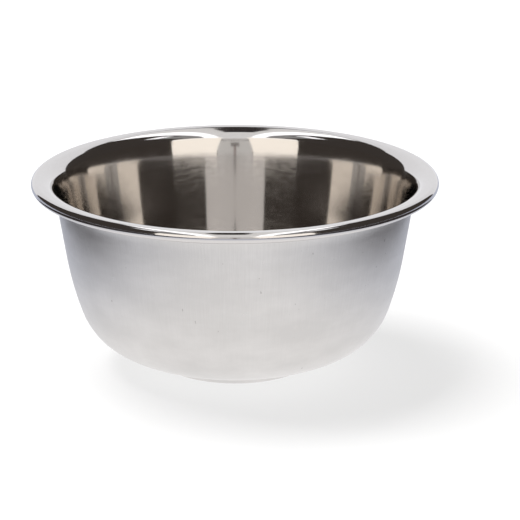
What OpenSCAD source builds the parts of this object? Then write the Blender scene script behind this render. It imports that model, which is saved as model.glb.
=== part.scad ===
// Small shaving bowl, deep drawn from one disc of stainless sheet.
// The origin is the centre of the foot's resting face, and +Z points up out of the mouth.
// The section is drawn as the sheet's middle line, a chain of straights and bends that starts
// on the axis at the foot and ends inside the rolled rim, and the sheet lies half on each side.

/* [Overall] */
// Diameter over the rolled rim
rim_d = 120; // [110:0.5:140]
// Height from the table to the top of the rim
bowl_h = 57.3; // [50:0.1:75]
// Thickness of the sheet
sheet_t = 0.7; // [0.5:0.05:0.8]

/* [Rolled rim] */
// Radius of the bead's outside
bead_r = 1.6; // [1.4:0.05:2.2]
// How far the sheet turns to close the bead, in degrees
bead_turn = 255; // [180:5:260]
// Width of the crown between the bead and the inner roll
crown_w = 1.3; // [0.5:0.05:3]
// How steeply the crown falls towards the mouth, in degrees
crown_slope = 3; // [1:0.5:8]
// Radius of the roll from the crown into the mouth
mouth_r = 4.5; // [3:0.1:5]

/* [Wall] */
// Lean of the wall from vertical at the mouth, in degrees
flare_lean = 22; // [14:0.5:26]
// Radius of the flare below the mouth
flare_r = 20; // [12:1:40]
// Lean of the straight part of the wall from vertical, in degrees
wall_lean = 9.4; // [6:0.2:11]
// Radius of the long curve below the straight wall
shoulder_r = 92.5; // [60:0.5:120]
// Lean of the wall from vertical where the knuckle starts, in degrees
knuckle_lean = 19.7; // [14:0.1:24]
// Radius of the knuckle between wall and bottom
knuckle_r = 20.3; // [16:0.1:22]

/* [Bottom] */
// Rise of the bottom from horizontal where the knuckle ends, in degrees
bottom_rise = 23.8; // [20:0.1:30]
// Radius of the curve under the knuckle
bottom_r = 57; // [40:1:80]
// Rise of the bottom from horizontal beside the foot, in degrees
foot_rise = 17.1; // [12:0.1:19]

/* [Pressed foot] */
// Diameter over the foot
foot_d = 45; // [36:0.5:50]
// Height of the step between the table and the bottom
foot_h = 1.78; // [1.6:0.02:2.6]
// Middle-line radius of the two bends in the step
foot_bend_r = 0.8; // [0.6:0.05:0.9]
// Steepness of the step, in degrees
foot_steep = 80; // [70:1:86]

/* [Hidden] */

half_t = sheet_t / 2;
// Largest turn between two points of a bend, in degrees, and the longest chord of one
turn_step = 5;
chord_max = 1.6;

// Middle-line radii: a stated radius is the one that shows, on the outside of its bend.
bead_mid_r = bead_r - half_t;
mouth_mid_r = mouth_r - half_t;
flare_mid_r = flare_r - half_t;
shoulder_mid_r = shoulder_r - half_t;
knuckle_mid_r = knuckle_r - half_t;
bottom_mid_r = bottom_r - half_t;

// Headings along the middle line, from +X towards +Z
wall_heading = 90 - wall_lean;
knuckle_heading = 90 - knuckle_lean;
flare_heading = 90 - flare_lean;

function along(heading) = [cos(heading), sin(heading)];
function left_of(heading) = [-sin(heading), cos(heading)];

// Displacement of a bend of radius r from one heading to another: left if the heading rises
function bend_move(r, from, to) = r * sign(to - from) * (left_of(from) - left_of(to));

// Number of chords that a bend is drawn with
function bend_steps(r, from, to) =
    ceil(max(abs(to - from) / turn_step, abs(to - from) * PI / 180 * r / chord_max));

// Points of a bend after its first, each with its heading: [point, heading]
function bend_points(start, r, from, to) =
    let (steps = bend_steps(r, from, to))
    [for (i = [1:steps])
        let (heading = from + (to - from) * i / steps)
        [start + bend_move(r, from, heading), heading]];

// Foot: a flat disc, then a step up to the bottom of the bowl
flat_r = foot_d / 2 - (foot_bend_r + half_t) * sin(foot_steep);
foot_flat_end = [flat_r, half_t];
step_lower_end = foot_flat_end + bend_move(foot_bend_r, 0, foot_steep);
step_upper_move = bend_move(foot_bend_r, foot_steep, foot_rise);
step_top_z = foot_h + half_t * cos(foot_rise);
step_straight = (step_top_z - step_lower_end[1] - step_upper_move[1]) / sin(foot_steep);
step_straight_end = step_lower_end + step_straight * along(foot_steep);
step_end = step_straight_end + step_upper_move;

// Rim: placed from the outside, so that the bead touches rim_d and bowl_h
bead_centre = [rim_d / 2 - bead_r, bowl_h - bead_r];
crown_end = bead_centre + bead_mid_r * left_of(crown_slope);
crown_start = crown_end - crown_w * along(crown_slope);
roll_start = crown_start - bend_move(mouth_mid_r, flare_heading, crown_slope);
flare_start = roll_start - bend_move(flare_mid_r, wall_heading, flare_heading);

// The two straights, bottom and wall, take up what is left between the foot and the flare.
curves_move = bend_move(bottom_mid_r, foot_rise, bottom_rise)
    + bend_move(knuckle_mid_r, bottom_rise, knuckle_heading)
    + bend_move(shoulder_mid_r, knuckle_heading, wall_heading);
gap = flare_start - step_end - curves_move;
closing = sin(wall_heading - foot_rise);
bottom_straight = (gap[0] * sin(wall_heading) - gap[1] * cos(wall_heading)) / closing;
wall_straight = (gap[1] * cos(foot_rise) - gap[0] * sin(foot_rise)) / closing;

bottom_end = step_end + bottom_straight * along(foot_rise);
knuckle_start = bottom_end + bend_move(bottom_mid_r, foot_rise, bottom_rise);
shoulder_start = knuckle_start + bend_move(knuckle_mid_r, bottom_rise, knuckle_heading);
wall_start = shoulder_start + bend_move(shoulder_mid_r, knuckle_heading, wall_heading);

middle_line = concat(
    [[[0, half_t], 0], [foot_flat_end, 0]],
    bend_points(foot_flat_end, foot_bend_r, 0, foot_steep),
    [[step_straight_end, foot_steep]],
    bend_points(step_straight_end, foot_bend_r, foot_steep, foot_rise),
    [[bottom_end, foot_rise]],
    bend_points(bottom_end, bottom_mid_r, foot_rise, bottom_rise),
    bend_points(knuckle_start, knuckle_mid_r, bottom_rise, knuckle_heading),
    bend_points(shoulder_start, shoulder_mid_r, knuckle_heading, wall_heading),
    [[flare_start, wall_heading]],
    bend_points(flare_start, flare_mid_r, wall_heading, flare_heading),
    bend_points(roll_start, mouth_mid_r, flare_heading, crown_slope),
    [[crown_end, crown_slope]],
    bend_points(crown_end, bead_mid_r, crown_slope, crown_slope - bead_turn)
);

// The sheet's two faces: the inside runs to the left of the middle line
inner_face = [for (p = middle_line) p[0] + half_t * left_of(p[1])];
outer_face = [for (p = middle_line) p[0] - half_t * left_of(p[1])];
outer_back = [for (i = [len(outer_face) - 1:-1:0]) outer_face[i]];

assert(bottom_straight > 0 && wall_straight > 0 && step_straight > 0, "these sizes leave no straight");

module bowl_shell() {
    color("gainsboro")
        rotate_extrude($fn = 180)
            polygon(concat(inner_face, outer_back));
}

bowl_shell();
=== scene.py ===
"""The looks of the small steel shaving bowl: a finely revolved skin over the CAD sheet, three steel
finishes, a white table, and the softboxes, panels and dark room that the steel reflects.
Lengths are in metres, +Z is up, and the camera stands on the -Y side."""
import math

import bpy
from mathutils import Matrix, Vector


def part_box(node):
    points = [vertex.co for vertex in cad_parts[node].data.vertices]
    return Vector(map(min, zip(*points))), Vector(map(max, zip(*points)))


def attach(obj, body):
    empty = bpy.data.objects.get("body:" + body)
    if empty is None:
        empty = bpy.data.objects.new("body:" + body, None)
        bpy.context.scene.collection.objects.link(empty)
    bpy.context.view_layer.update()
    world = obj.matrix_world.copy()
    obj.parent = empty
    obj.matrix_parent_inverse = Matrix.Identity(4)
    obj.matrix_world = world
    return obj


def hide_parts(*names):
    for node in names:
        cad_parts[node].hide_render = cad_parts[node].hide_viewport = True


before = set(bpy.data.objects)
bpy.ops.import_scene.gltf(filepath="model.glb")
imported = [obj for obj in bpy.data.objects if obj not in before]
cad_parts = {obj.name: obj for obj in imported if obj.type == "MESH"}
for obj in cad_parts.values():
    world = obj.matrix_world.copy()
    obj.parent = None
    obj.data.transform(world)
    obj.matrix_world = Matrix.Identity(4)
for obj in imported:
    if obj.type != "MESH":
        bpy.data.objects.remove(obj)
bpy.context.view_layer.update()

# ---------------------------------------------------------------- sizes from the frame
NODE = "bowl_shell"
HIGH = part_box(NODE)[1]
RIM_RADIUS = HIGH.x
HEIGHT = HIGH.z

# ---------------------------------------------------------------- the camera
CAMERA_ELEVATION = math.radians(15.77)
CAMERA_DISTANCE = 0.9
CAMERA_LENS = 211.4
CAMERA_ROLL = math.radians(-0.119)
CAMERA_TARGET = Vector((0.0, 0.0, HEIGHT - 0.0015))
AIM_YAW = math.radians(-0.465)
AIM_PITCH = math.radians(1.494)


def make_camera():
    """A long lens above the table, aimed a little right of and below the middle of the mouth."""
    data = bpy.data.cameras.new("camera")
    data.lens = CAMERA_LENS
    data.sensor_width = 36.0
    data.clip_start = 0.05
    data.clip_end = 20.0
    camera = bpy.data.objects.new("camera", data)
    bpy.context.scene.collection.objects.link(camera)
    place = Vector((0.0, -math.cos(CAMERA_ELEVATION), math.sin(CAMERA_ELEVATION)))
    level = (-place).to_track_quat("-Z", "Y").to_matrix()
    turn = Matrix.Rotation(AIM_YAW, 3, "Y") @ Matrix.Rotation(-AIM_PITCH, 3, "X")
    turn = turn @ Matrix.Rotation(CAMERA_ROLL, 3, "Z")
    stand = Matrix.Translation(CAMERA_TARGET + place * CAMERA_DISTANCE)
    camera.matrix_world = stand @ (level @ turn).to_4x4()
    bpy.context.scene.camera = camera


# ---------------------------------------------------------------- the skin
ROUND_SEGMENTS = 288
LONGEST_PIECE = 0.0016
CORNER = math.radians(40)
UNEQUAL = 2.5
DISC_RINGS = 5
MERGE = 1e-6


def section_of(node):
    """The node's section in the half-plane y = 0, x > 0: points (r, z) in order, from the middle of the
    outside, up the wall, round the rim and down the inside. Every ring of the CAD mesh has a vertex there."""
    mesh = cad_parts[node].data
    keys = {}
    for v in mesh.vertices:
        if abs(v.co.y) < MERGE and v.co.x > MERGE:
            keys[v.index] = (round(v.co.x / MERGE), round(v.co.z / MERGE))
    links = {}
    for a, b in (e.vertices for e in mesh.edges):
        if a in keys and b in keys and keys[a] != keys[b]:
            links.setdefault(keys[a], set()).add(keys[b])
            links.setdefault(keys[b], set()).add(keys[a])
    ends = [k for k, near in links.items() if len(near) == 1]
    here = min(ends, key=lambda k: k[1])
    chain, seen = [here], {here}
    while True:
        ahead = [k for k in links[here] if k not in seen]
        if not ahead:
            break
        here = ahead[0]
        seen.add(here)
        chain.append(here)
    return [Vector((x * MERGE, z * MERGE)) for x, z in chain]


def tangents(points):
    """The direction of travel into and out of each point. They differ only at a corner, and beside a much
    longer piece, which is a straight, that piece's own direction holds."""
    steps = [b - a for a, b in zip(points, points[1:])]
    into, out = [steps[0].normalized()], [steps[0].normalized()]
    for a, b in zip(steps, steps[1:]):
        if a.angle(b) > CORNER:
            into.append(a.normalized())
            out.append(b.normalized())
            continue
        if a.length > UNEQUAL * b.length:
            mean = a.normalized()
        elif b.length > UNEQUAL * a.length:
            mean = b.normalized()
        else:
            mean = (a.normalized() + b.normalized()).normalized()
        into.append(mean)
        out.append(mean)
    into.append(steps[-1].normalized())
    out.append(steps[-1].normalized())
    return into, out


def refined(points):
    """The same section with its long pieces cut up along smooth curves through the points."""
    into, out = tangents(points)
    fine = [points[0]]
    for i, (a, b) in enumerate(zip(points, points[1:])):
        span = (b - a).length
        pieces = max(1, math.ceil(span / LONGEST_PIECE))
        for k in range(1, pieces + 1):
            t = k / pieces
            fine.append(
                a * (2 * t ** 3 - 3 * t ** 2 + 1)
                + out[i] * span * (t ** 3 - 2 * t ** 2 + t)
                + b * (3 * t ** 2 - 2 * t ** 3)
                + into[i + 1] * span * (t ** 3 - t ** 2)
            )
    return fine


def revolved(name, points):
    """A closed skin: the section turned round Z, with a disc of rings to the axis at each of its ends."""
    first, last = points[0], points[-1]
    under = [Vector((first.x * k / DISC_RINGS, first.y)) for k in range(1, DISC_RINGS)]
    over = [Vector((last.x * k / DISC_RINGS, last.y)) for k in range(DISC_RINGS - 1, 0, -1)]
    rings = under + list(points) + over
    n = ROUND_SEGMENTS
    turns = [2 * math.pi * k / n for k in range(n)]
    verts = [(p.x * math.cos(a), p.x * math.sin(a), p.y) for p in rings for a in turns]
    faces = []
    for row in range(len(rings) - 1):
        for k in range(n):
            here, beside = row * n + k, row * n + (k + 1) % n
            faces.append((here, beside, beside + n, here + n))
    verts += [(0.0, 0.0, first.y), (0.0, 0.0, last.y)]
    low, high = len(verts) - 2, len(verts) - 1
    end = (len(rings) - 1) * n
    faces += [(low, (k + 1) % n, k) for k in range(n)]
    faces += [(high, end + k, end + (k + 1) % n) for k in range(n)]
    mesh = bpy.data.meshes.new(name)
    mesh.from_pydata(verts, [], faces)
    mesh.validate()
    piece = bpy.data.objects.new(name, mesh)
    bpy.context.scene.collection.objects.link(piece)
    return piece


# ---------------------------------------------------------------- materials
class Nodes:
    """A material under construction, and short calls that make and join its nodes."""

    def __init__(self, name):
        self.material = bpy.data.materials.new(name)
        self.material.use_nodes = True
        self.tree = self.material.node_tree
        self.tree.nodes.clear()

    def join(self, value, target):
        """Link a socket to an input, or set the input to a constant."""
        if isinstance(value, bpy.types.NodeSocket):
            self.tree.links.new(value, target)
        else:
            target.default_value = value

    def new(self, kind, **inputs):
        node = self.tree.nodes.new(kind)
        for key, value in inputs.items():
            self.join(value, node.inputs[key.replace("_", " ")])
        return node

    def math(self, operation, a, b=0.0):
        node = self.new("ShaderNodeMath")
        node.operation = operation
        self.join(a, node.inputs[0])
        self.join(b, node.inputs[1])
        return node.outputs[0]

    def times(self, a, b):
        return self.math("MULTIPLY", a, b)

    def plus(self, a, b):
        return self.math("ADD", a, b)

    def vector(self, x, y, z):
        return self.new("ShaderNodeCombineXYZ", X=x, Y=y, Z=z).outputs[0]

    def noise(self, vector, scale, detail, roughness=0.5):
        node = self.new("ShaderNodeTexNoise", Vector=vector, Scale=scale, Detail=detail, Roughness=roughness)
        return node.outputs["Fac"]

    def lines(self, c, s, along, radius, scale, detail, roughness):
        """Noise drawn out round the bowl: the smaller the radius it sees for a ring, the longer its lines."""
        place = self.vector(self.times(c, radius), self.times(s, radius), along)
        return self.noise(place, scale=scale, detail=detail, roughness=roughness)

    def spread(self, value, low, high, out_low, out_high):
        """Carry the range low to high over to another range, and stop at its ends."""
        node = self.new("ShaderNodeMapRange", Value=value, From_Min=low, From_Max=high)
        self.join(out_low, node.inputs["To Min"])
        self.join(out_high, node.inputs["To Max"])
        return node.outputs["Result"]

    def mix(self, factor, a, b):
        node = self.new("ShaderNodeMix")
        node.data_type = "RGBA"
        for value, target in ((factor, node.inputs[0]), (a, node.inputs[6]), (b, node.inputs[7])):
            self.join(value, target)
        return node.outputs[2]

    def blend(self, factor, a, b):
        """Shader a, or shader b where the factor is 1."""
        node = self.new("ShaderNodeMixShader")
        for value, target in zip((factor, a, b), node.inputs):
            self.join(value, target)
        return node.outputs[0]

    def bump(self, height, strength, depth, **under):
        """A bump of this depth, over another one's normal if under gives it as Normal."""
        node = self.new("ShaderNodeBump", Height=height, Strength=strength, Distance=depth, **under)
        return node.outputs["Normal"]

    def round_coordinates(self):
        """The cosine and sine of a point's place round the bowl, its height, and its distance from the
        axis."""
        place = self.new("ShaderNodeTexCoord").outputs["Object"]
        x, y, z = self.new("ShaderNodeSeparateXYZ", Vector=place).outputs
        r = self.math("SQRT", self.plus(self.times(x, x), self.times(y, y)))
        safe = self.math("MAXIMUM", r, AXIS_RADIUS)
        return self.math("DIVIDE", x, safe), self.math("DIVIDE", y, safe), z, r

    def metal(self, colour, roughness, normal):
        shader = self.new("ShaderNodeBsdfPrincipled", Base_Color=colour, Roughness=roughness, Normal=normal)
        shader.inputs["Metallic"].default_value = 1.0
        self.finish(shader.outputs[0])
        return shader

    def finish(self, shader):
        self.new("ShaderNodeOutputMaterial", Surface=shader)


# What the steel reflects at its darkest and at its lightest, in each of the three finishes.
SATIN_DARK = (0.605, 0.592, 0.580, 1)
SATIN_LIGHT = (0.690, 0.675, 0.662, 1)
SATIN_MARK = (0.42, 0.40, 0.39, 1)
POLISHED_DARK = (0.630, 0.600, 0.570, 1)
POLISHED_LIGHT = (0.660, 0.630, 0.600, 1)
RIM_DARK = (0.640, 0.620, 0.610, 1)
RIM_LIGHT = (0.665, 0.645, 0.635, 1)
# Round coordinates hold from this radius outwards.
AXIS_RADIUS = 0.0005


def satin_outside():
    """Drawn sheet brushed to a satin: fine draw lines down the wall, brushed bands round it, a slow change of
    tone, and a few short handling marks."""
    n = Nodes("satin_outside")
    c, s, z, r = n.round_coordinates()
    draw = n.noise(n.vector(c, s, n.times(z, 0.8)), scale=130.0, detail=4.0, roughness=0.65)
    strength = n.spread(z, 0.25 * HEIGHT, 0.85 * HEIGHT, 0.25, 1.0)
    draw = n.times(n.math("SUBTRACT", draw, 0.5), strength)
    along = n.plus(z, n.times(r, 0.3))
    fine = n.lines(c, s, along, radius=0.012, scale=700.0, detail=4.0, roughness=0.7)
    broad = n.lines(c, s, along, radius=0.02, scale=130.0, detail=3.0, roughness=0.6)
    cloud = n.noise(n.vector(c, s, n.times(z, 22.0)), scale=2.6, detail=4.0, roughness=0.6)
    marks = n.vector(n.times(c, 9.0), n.times(s, 9.0), n.times(z, 110.0))
    marks = n.spread(n.noise(marks, scale=6.0, detail=0.0), 0.86, 0.88, 0.0, 0.8)
    tone = n.plus(n.spread(cloud, 0.3, 0.7, 0.0, 0.6), n.times(draw, 1.6))
    tone = n.plus(tone, n.spread(broad, 0.3, 0.7, -0.35, 0.35))
    colour = n.mix(tone, SATIN_DARK, SATIN_LIGHT)
    colour = n.mix(marks, colour, SATIN_MARK)
    roughness = n.spread(n.plus(draw, fine), 0.2, 0.8, 0.27, 0.35)
    drawn = n.bump(draw, strength=0.45, depth=0.0001)
    n.metal(colour, roughness, n.bump(fine, strength=0.16, depth=0.0001, Normal=drawn))
    return n.material


def polished_inside():
    """Polished round and round: mirror-like along the ring, blurred across it."""
    n = Nodes("polished_inside")
    c, s, z, r = n.round_coordinates()
    along = n.plus(z, n.times(r, 0.6))
    rings = n.lines(c, s, along, radius=0.02, scale=900.0, detail=3.0, roughness=0.65)
    cloud = n.noise(n.vector(c, s, n.times(z, 30.0)), scale=2.0, detail=3.0)
    colour = n.mix(n.spread(cloud, 0.3, 0.7, 0.0, 1.0), POLISHED_DARK, POLISHED_LIGHT)
    roughness = n.spread(rings, 0.3, 0.7, 0.075, 0.115)
    shader = n.metal(colour, roughness, n.bump(rings, strength=0.05, depth=0.00005))
    shader.inputs["Anisotropic"].default_value = 0.95
    shader.inputs["Anisotropic Rotation"].default_value = 0.25
    tangent = n.new("ShaderNodeTangent")
    tangent.direction_type = "RADIAL"
    tangent.axis = "Z"
    n.join(tangent.outputs[0], shader.inputs["Tangent"])
    return n.material


def bright_rim():
    """The rolled rim is buffed to a mirror, with faint lines round it."""
    n = Nodes("bright_rim")
    c, s, z, r = n.round_coordinates()
    lines = n.lines(c, s, n.plus(z, r), radius=0.02, scale=1500.0, detail=2.0, roughness=0.6)
    colour = n.mix(n.spread(lines, 0.3, 0.7, 0.0, 1.0), RIM_DARK, RIM_LIGHT)
    roughness = n.spread(lines, 0.3, 0.7, 0.05, 0.09)
    n.metal(colour, roughness, n.bump(lines, strength=0.03, depth=0.00003))
    return n.material


# ---------------------------------------------------------------- the bowl
# The rim's finish ends this far under its top, and inside this radius a face's slope tells its side.
RIM_DEPTH = 0.0031
BOTTOM_RADIUS = 0.583 * RIM_RADIUS


def make_bowl():
    piece = revolved("bowl_skin", refined(section_of(NODE)))
    mesh = piece.data
    for make in (satin_outside, polished_inside, bright_rim):
        mesh.materials.append(make())
    mesh.polygons.foreach_set("material_index", [finish_of(face) for face in mesh.polygons])
    mesh.shade_smooth()
    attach(piece, "root")
    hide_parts(NODE)


def finish_of(face):
    """2 for the rim. Below it, 1 for a face that looks inward or, on the bottom, up, and 0 for the others."""
    place, normal = face.center, face.normal
    if place.z >= HEIGHT - RIM_DEPTH:
        return 2
    if math.hypot(place.x, place.y) > BOTTOM_RADIUS:
        inside = normal.x * place.x + normal.y * place.y < 0
    else:
        inside = normal.z > 0
    return 1 if inside else 0


# ---------------------------------------------------------------- the studio
WARM = (1.0, 0.945, 0.875)
WHITE = (0.97, 0.975, 1.0)
GREY = (0.98, 0.97, 0.96)
BLACK = (0.030, 0.026, 0.025)
ROOM = (0.055, 0.047, 0.042)
BACKGROUND_LEVEL = 1.05
TABLE_REACH = 3.0
TABLE_GAP = 0.0001
TABLE_WHITE = 0.25
TABLE_GLOW = 0.74
# In reflections the table glows with a painted pool of light before the bowl, which no lamp casts, and a
# cooler, darker painted glow beyond it: the pool's colour, the colour beyond it, the pool's place and
# half-widths.
PAINTED_POOL_LIGHT = (1.08, 1.07, 1.07, 1)
PAINTED_GLOW_BEYOND_POOL = (0.57, 0.60, 0.70, 1)
POOL_Y = -0.05
POOL_HALF_WIDTH = 0.10
POOL_HALF_DEPTH = 0.13
KEY_PLACE = Vector((-0.33, 0.18, 1.0))
KEY_TARGET = Vector((0.03, 0.0, 0.0))
KEY_SIZE = 0.7
KEY_POWER = 22.0
CEILING = 1.05
UNDER_CEILING = CEILING - 0.01
BOOM_HEIGHT = CEILING - 0.02
BACKDROP_Y = 1.0
WALL_BEHIND_Y = -1.0
CAMERA_CARD_Y = WALL_BEHIND_Y + 0.01


def card(name, corners, material):
    """A flat piece of the studio."""
    mesh = bpy.data.meshes.new(name)
    mesh.from_pydata([tuple(c) for c in corners], [], [tuple(range(len(corners)))])
    mesh.materials.append(material)
    piece = bpy.data.objects.new(name, mesh)
    bpy.context.scene.collection.objects.link(piece)
    return piece


def reflected(name, corners, colour, strength):
    """A glowing card that only shows as a reflection in the steel."""
    n = Nodes(name)
    n.finish(n.new("ShaderNodeEmission", Color=(*colour, 1.0), Strength=strength).outputs[0])
    piece = card(name, corners, n.material)
    piece.visible_camera = False
    piece.visible_diffuse = False
    piece.visible_shadow = False


def both_sides(name, corners, colour, strength):
    """A reflected card on the right and its mirror image on the left."""
    for side in (-1, 1):
        reflected(f"{name}_{side}", [(x * side, y, z) for x, y, z in corners], colour, strength)


def level(outline, z):
    """A level card's corners, from its outline seen from above."""
    return [(x, y, z) for x, y in outline]


def flat(x0, x1, y0, y1, z):
    return level([(x0, y0), (x1, y0), (x1, y1), (x0, y1)], z)


def upright(half_width, y, z0, z1):
    return [(-half_width, y, z0), (half_width, y, z0), (half_width, y, z1), (-half_width, y, z1)]


def facing(azimuth, elevation, distance, width, height):
    """Corners of a card that faces the bowl. Azimuth 0 is towards the camera, positive to its right."""
    a, e = math.radians(azimuth), math.radians(elevation)
    away = Vector((math.cos(e) * math.sin(a), -math.cos(e) * math.cos(a), math.sin(e)))
    side = Vector((math.cos(a), math.sin(a), 0.0))
    up = away.cross(side)
    middle = Vector((0.0, 0.0, HEIGHT)) + away * distance
    across, tall = side * width / 2, up * height / 2
    return [middle - across - tall, middle + across - tall, middle + across + tall, middle - across + tall]


def table_material():
    """To the camera, a white table that clips to white in the key light and takes its soft shadow. To the
    steel, a table that glows with painted light instead of the lamps' light: a painted pool, brightest before
    the bowl, cooler and darker away from it. From below it is clear, so that the bowl's underside shows."""
    n = Nodes("table_white")
    x, y, _ = n.new("ShaderNodeSeparateXYZ", Vector=n.new("ShaderNodeTexCoord").outputs["Object"]).outputs
    # Painted light: a glowing pool before the bowl that only reflections see, fading to a cooler, darker glow
    # away from it.
    across = n.math("POWER", n.math("DIVIDE", x, POOL_HALF_WIDTH), 2.0)
    along = n.math("POWER", n.math("DIVIDE", n.plus(y, -POOL_Y), POOL_HALF_DEPTH), 2.0)
    away = n.math("POWER", n.plus(across, along), 2.0)
    in_pool = n.math("DIVIDE", 1.0, n.plus(away, 1.0))
    light = n.mix(in_pool, PAINTED_GLOW_BEYOND_POOL, PAINTED_POOL_LIGHT)
    to_steel = n.new("ShaderNodeEmission", Color=light, Strength=1.0).outputs[0]
    white = n.new("ShaderNodeBsdfDiffuse", Color=(TABLE_WHITE, TABLE_WHITE, TABLE_WHITE, 1)).outputs[0]
    glow = n.new("ShaderNodeEmission", Color=(1, 1, 1, 1), Strength=TABLE_GLOW).outputs[0]
    to_camera = n.new("ShaderNodeAddShader")
    n.join(white, to_camera.inputs[0])
    n.join(glow, to_camera.inputs[1])
    is_camera = n.new("ShaderNodeLightPath").outputs["Is Camera Ray"]
    above = n.blend(is_camera, to_steel, to_camera.outputs[0])
    is_below = n.new("ShaderNodeNewGeometry").outputs["Backfacing"]
    n.finish(n.blend(is_below, above, n.new("ShaderNodeBsdfTransparent").outputs[0]))
    return n.material


def make_room():
    """Dark in reflections and white to the camera."""
    world = bpy.data.worlds.new("room")
    bpy.context.scene.world = world
    world.use_nodes = True
    tree = world.node_tree
    tree.nodes.clear()
    dark = tree.nodes.new("ShaderNodeBackground")
    dark.inputs["Color"].default_value = (*ROOM, 1)
    white = tree.nodes.new("ShaderNodeBackground")
    white.inputs["Color"].default_value = (1, 1, 1, 1)
    white.inputs["Strength"].default_value = BACKGROUND_LEVEL
    mix = tree.nodes.new("ShaderNodeMixShader")
    tree.links.new(tree.nodes.new("ShaderNodeLightPath").outputs["Is Camera Ray"], mix.inputs[0])
    tree.links.new(dark.outputs[0], mix.inputs[1])
    tree.links.new(white.outputs[0], mix.inputs[2])
    tree.links.new(mix.outputs[0], tree.nodes.new("ShaderNodeOutputWorld").inputs["Surface"])


def make_key():
    """The light that throws the shadow: wide and high, a little to the left and behind."""
    data = bpy.data.lights.new("key", "AREA")
    data.shape = "SQUARE"
    data.size = KEY_SIZE
    data.energy = KEY_POWER
    key = bpy.data.objects.new("key", data)
    bpy.context.scene.collection.objects.link(key)
    key.location = KEY_PLACE
    key.rotation_euler = (KEY_TARGET - KEY_PLACE).to_track_quat("-Z", "Y").to_euler()
    key.visible_camera = False
    key.visible_glossy = False


def make_overhead():
    """A grey ceiling panel that widens towards the camera, and a dark boom on its stand under it."""
    half = [(0.19, BACKDROP_Y), (0.19, -0.3), (0.40, -1.85)]
    ceiling = half + [(-x, y) for x, y in reversed(half)]
    reflected("ceiling", level(ceiling, CEILING), GREY, 0.95)
    boom = [(0.03, 0.9), (0.06, 0.35), (0.06, -0.08), (-0.105, -0.08), (-0.105, 0.35), (-0.05, 0.9)]
    reflected("boom", level(boom, BOOM_HEIGHT), BLACK, 1.5)
    stand = level([(-0.012, 0.98), (0.012, 0.98)], 0.6) + level([(0.03, 0.9), (-0.05, 0.9)], BOOM_HEIGHT)
    reflected("boom_stand", stand, BLACK, 1.5)


def make_behind_camera():
    """A grey wall behind the camera, and the camera on its stand before it."""
    reflected("wall_behind", upright(0.21, WALL_BEHIND_Y, -0.02, 0.57), GREY, 0.72)
    reflected("camera_body", upright(0.05, CAMERA_CARD_Y, 0.33, 0.45), BLACK, 5.0)
    reflected("camera_stand", upright(0.015, CAMERA_CARD_Y, 0.0, 0.33), BLACK, 13.0)


def make_sides():
    """White strips and a dim panel overhead, a warm softbox beside the camera, and a dark patch on the table
    that only the steel sees, a painted dark reflection.
    """
    outer = [(0.33, 0.9), (0.385, 0.4), (0.37, -0.1), (0.36, -0.6), (0.55, -1.5)]
    inner = [(0.28, -1.5), (0.20, -0.6), (0.18, 0.1)]
    both_sides("strip", level([(0.20, 0.9)] + outer + inner, UNDER_CEILING), WHITE, 1.9)
    both_sides("strip_wing", flat(0.45, 0.66, -0.2, 0.02, UNDER_CEILING), WHITE, 1.6)
    both_sides("ceiling_far", flat(0.37, 0.70, -1.5, -0.25, CEILING), GREY, 0.35)
    both_sides("softbox", facing(27.5, 20, 1.0, 0.56, 0.70), WARM, 1.42)
    # Painted dark reflection: black cards lying on the white table, seen only in the steel and never by the
    # camera.
    both_sides("painted_dark_patch", flat(0.12, 1.2, -0.8, 0.12, 0.001), BLACK, 1.6)


def make_studio():
    make_room()
    make_key()
    table = flat(-TABLE_REACH, TABLE_REACH, -TABLE_REACH, TABLE_REACH, -TABLE_GAP)
    card("table", table, table_material())
    reflected("backdrop", upright(0.84, BACKDROP_Y, 0, CEILING), WHITE, 1.0)
    make_overhead()
    make_behind_camera()
    make_sides()


make_camera()
make_bowl()
make_studio()
bpy.context.scene.view_settings.view_transform = "Standard"
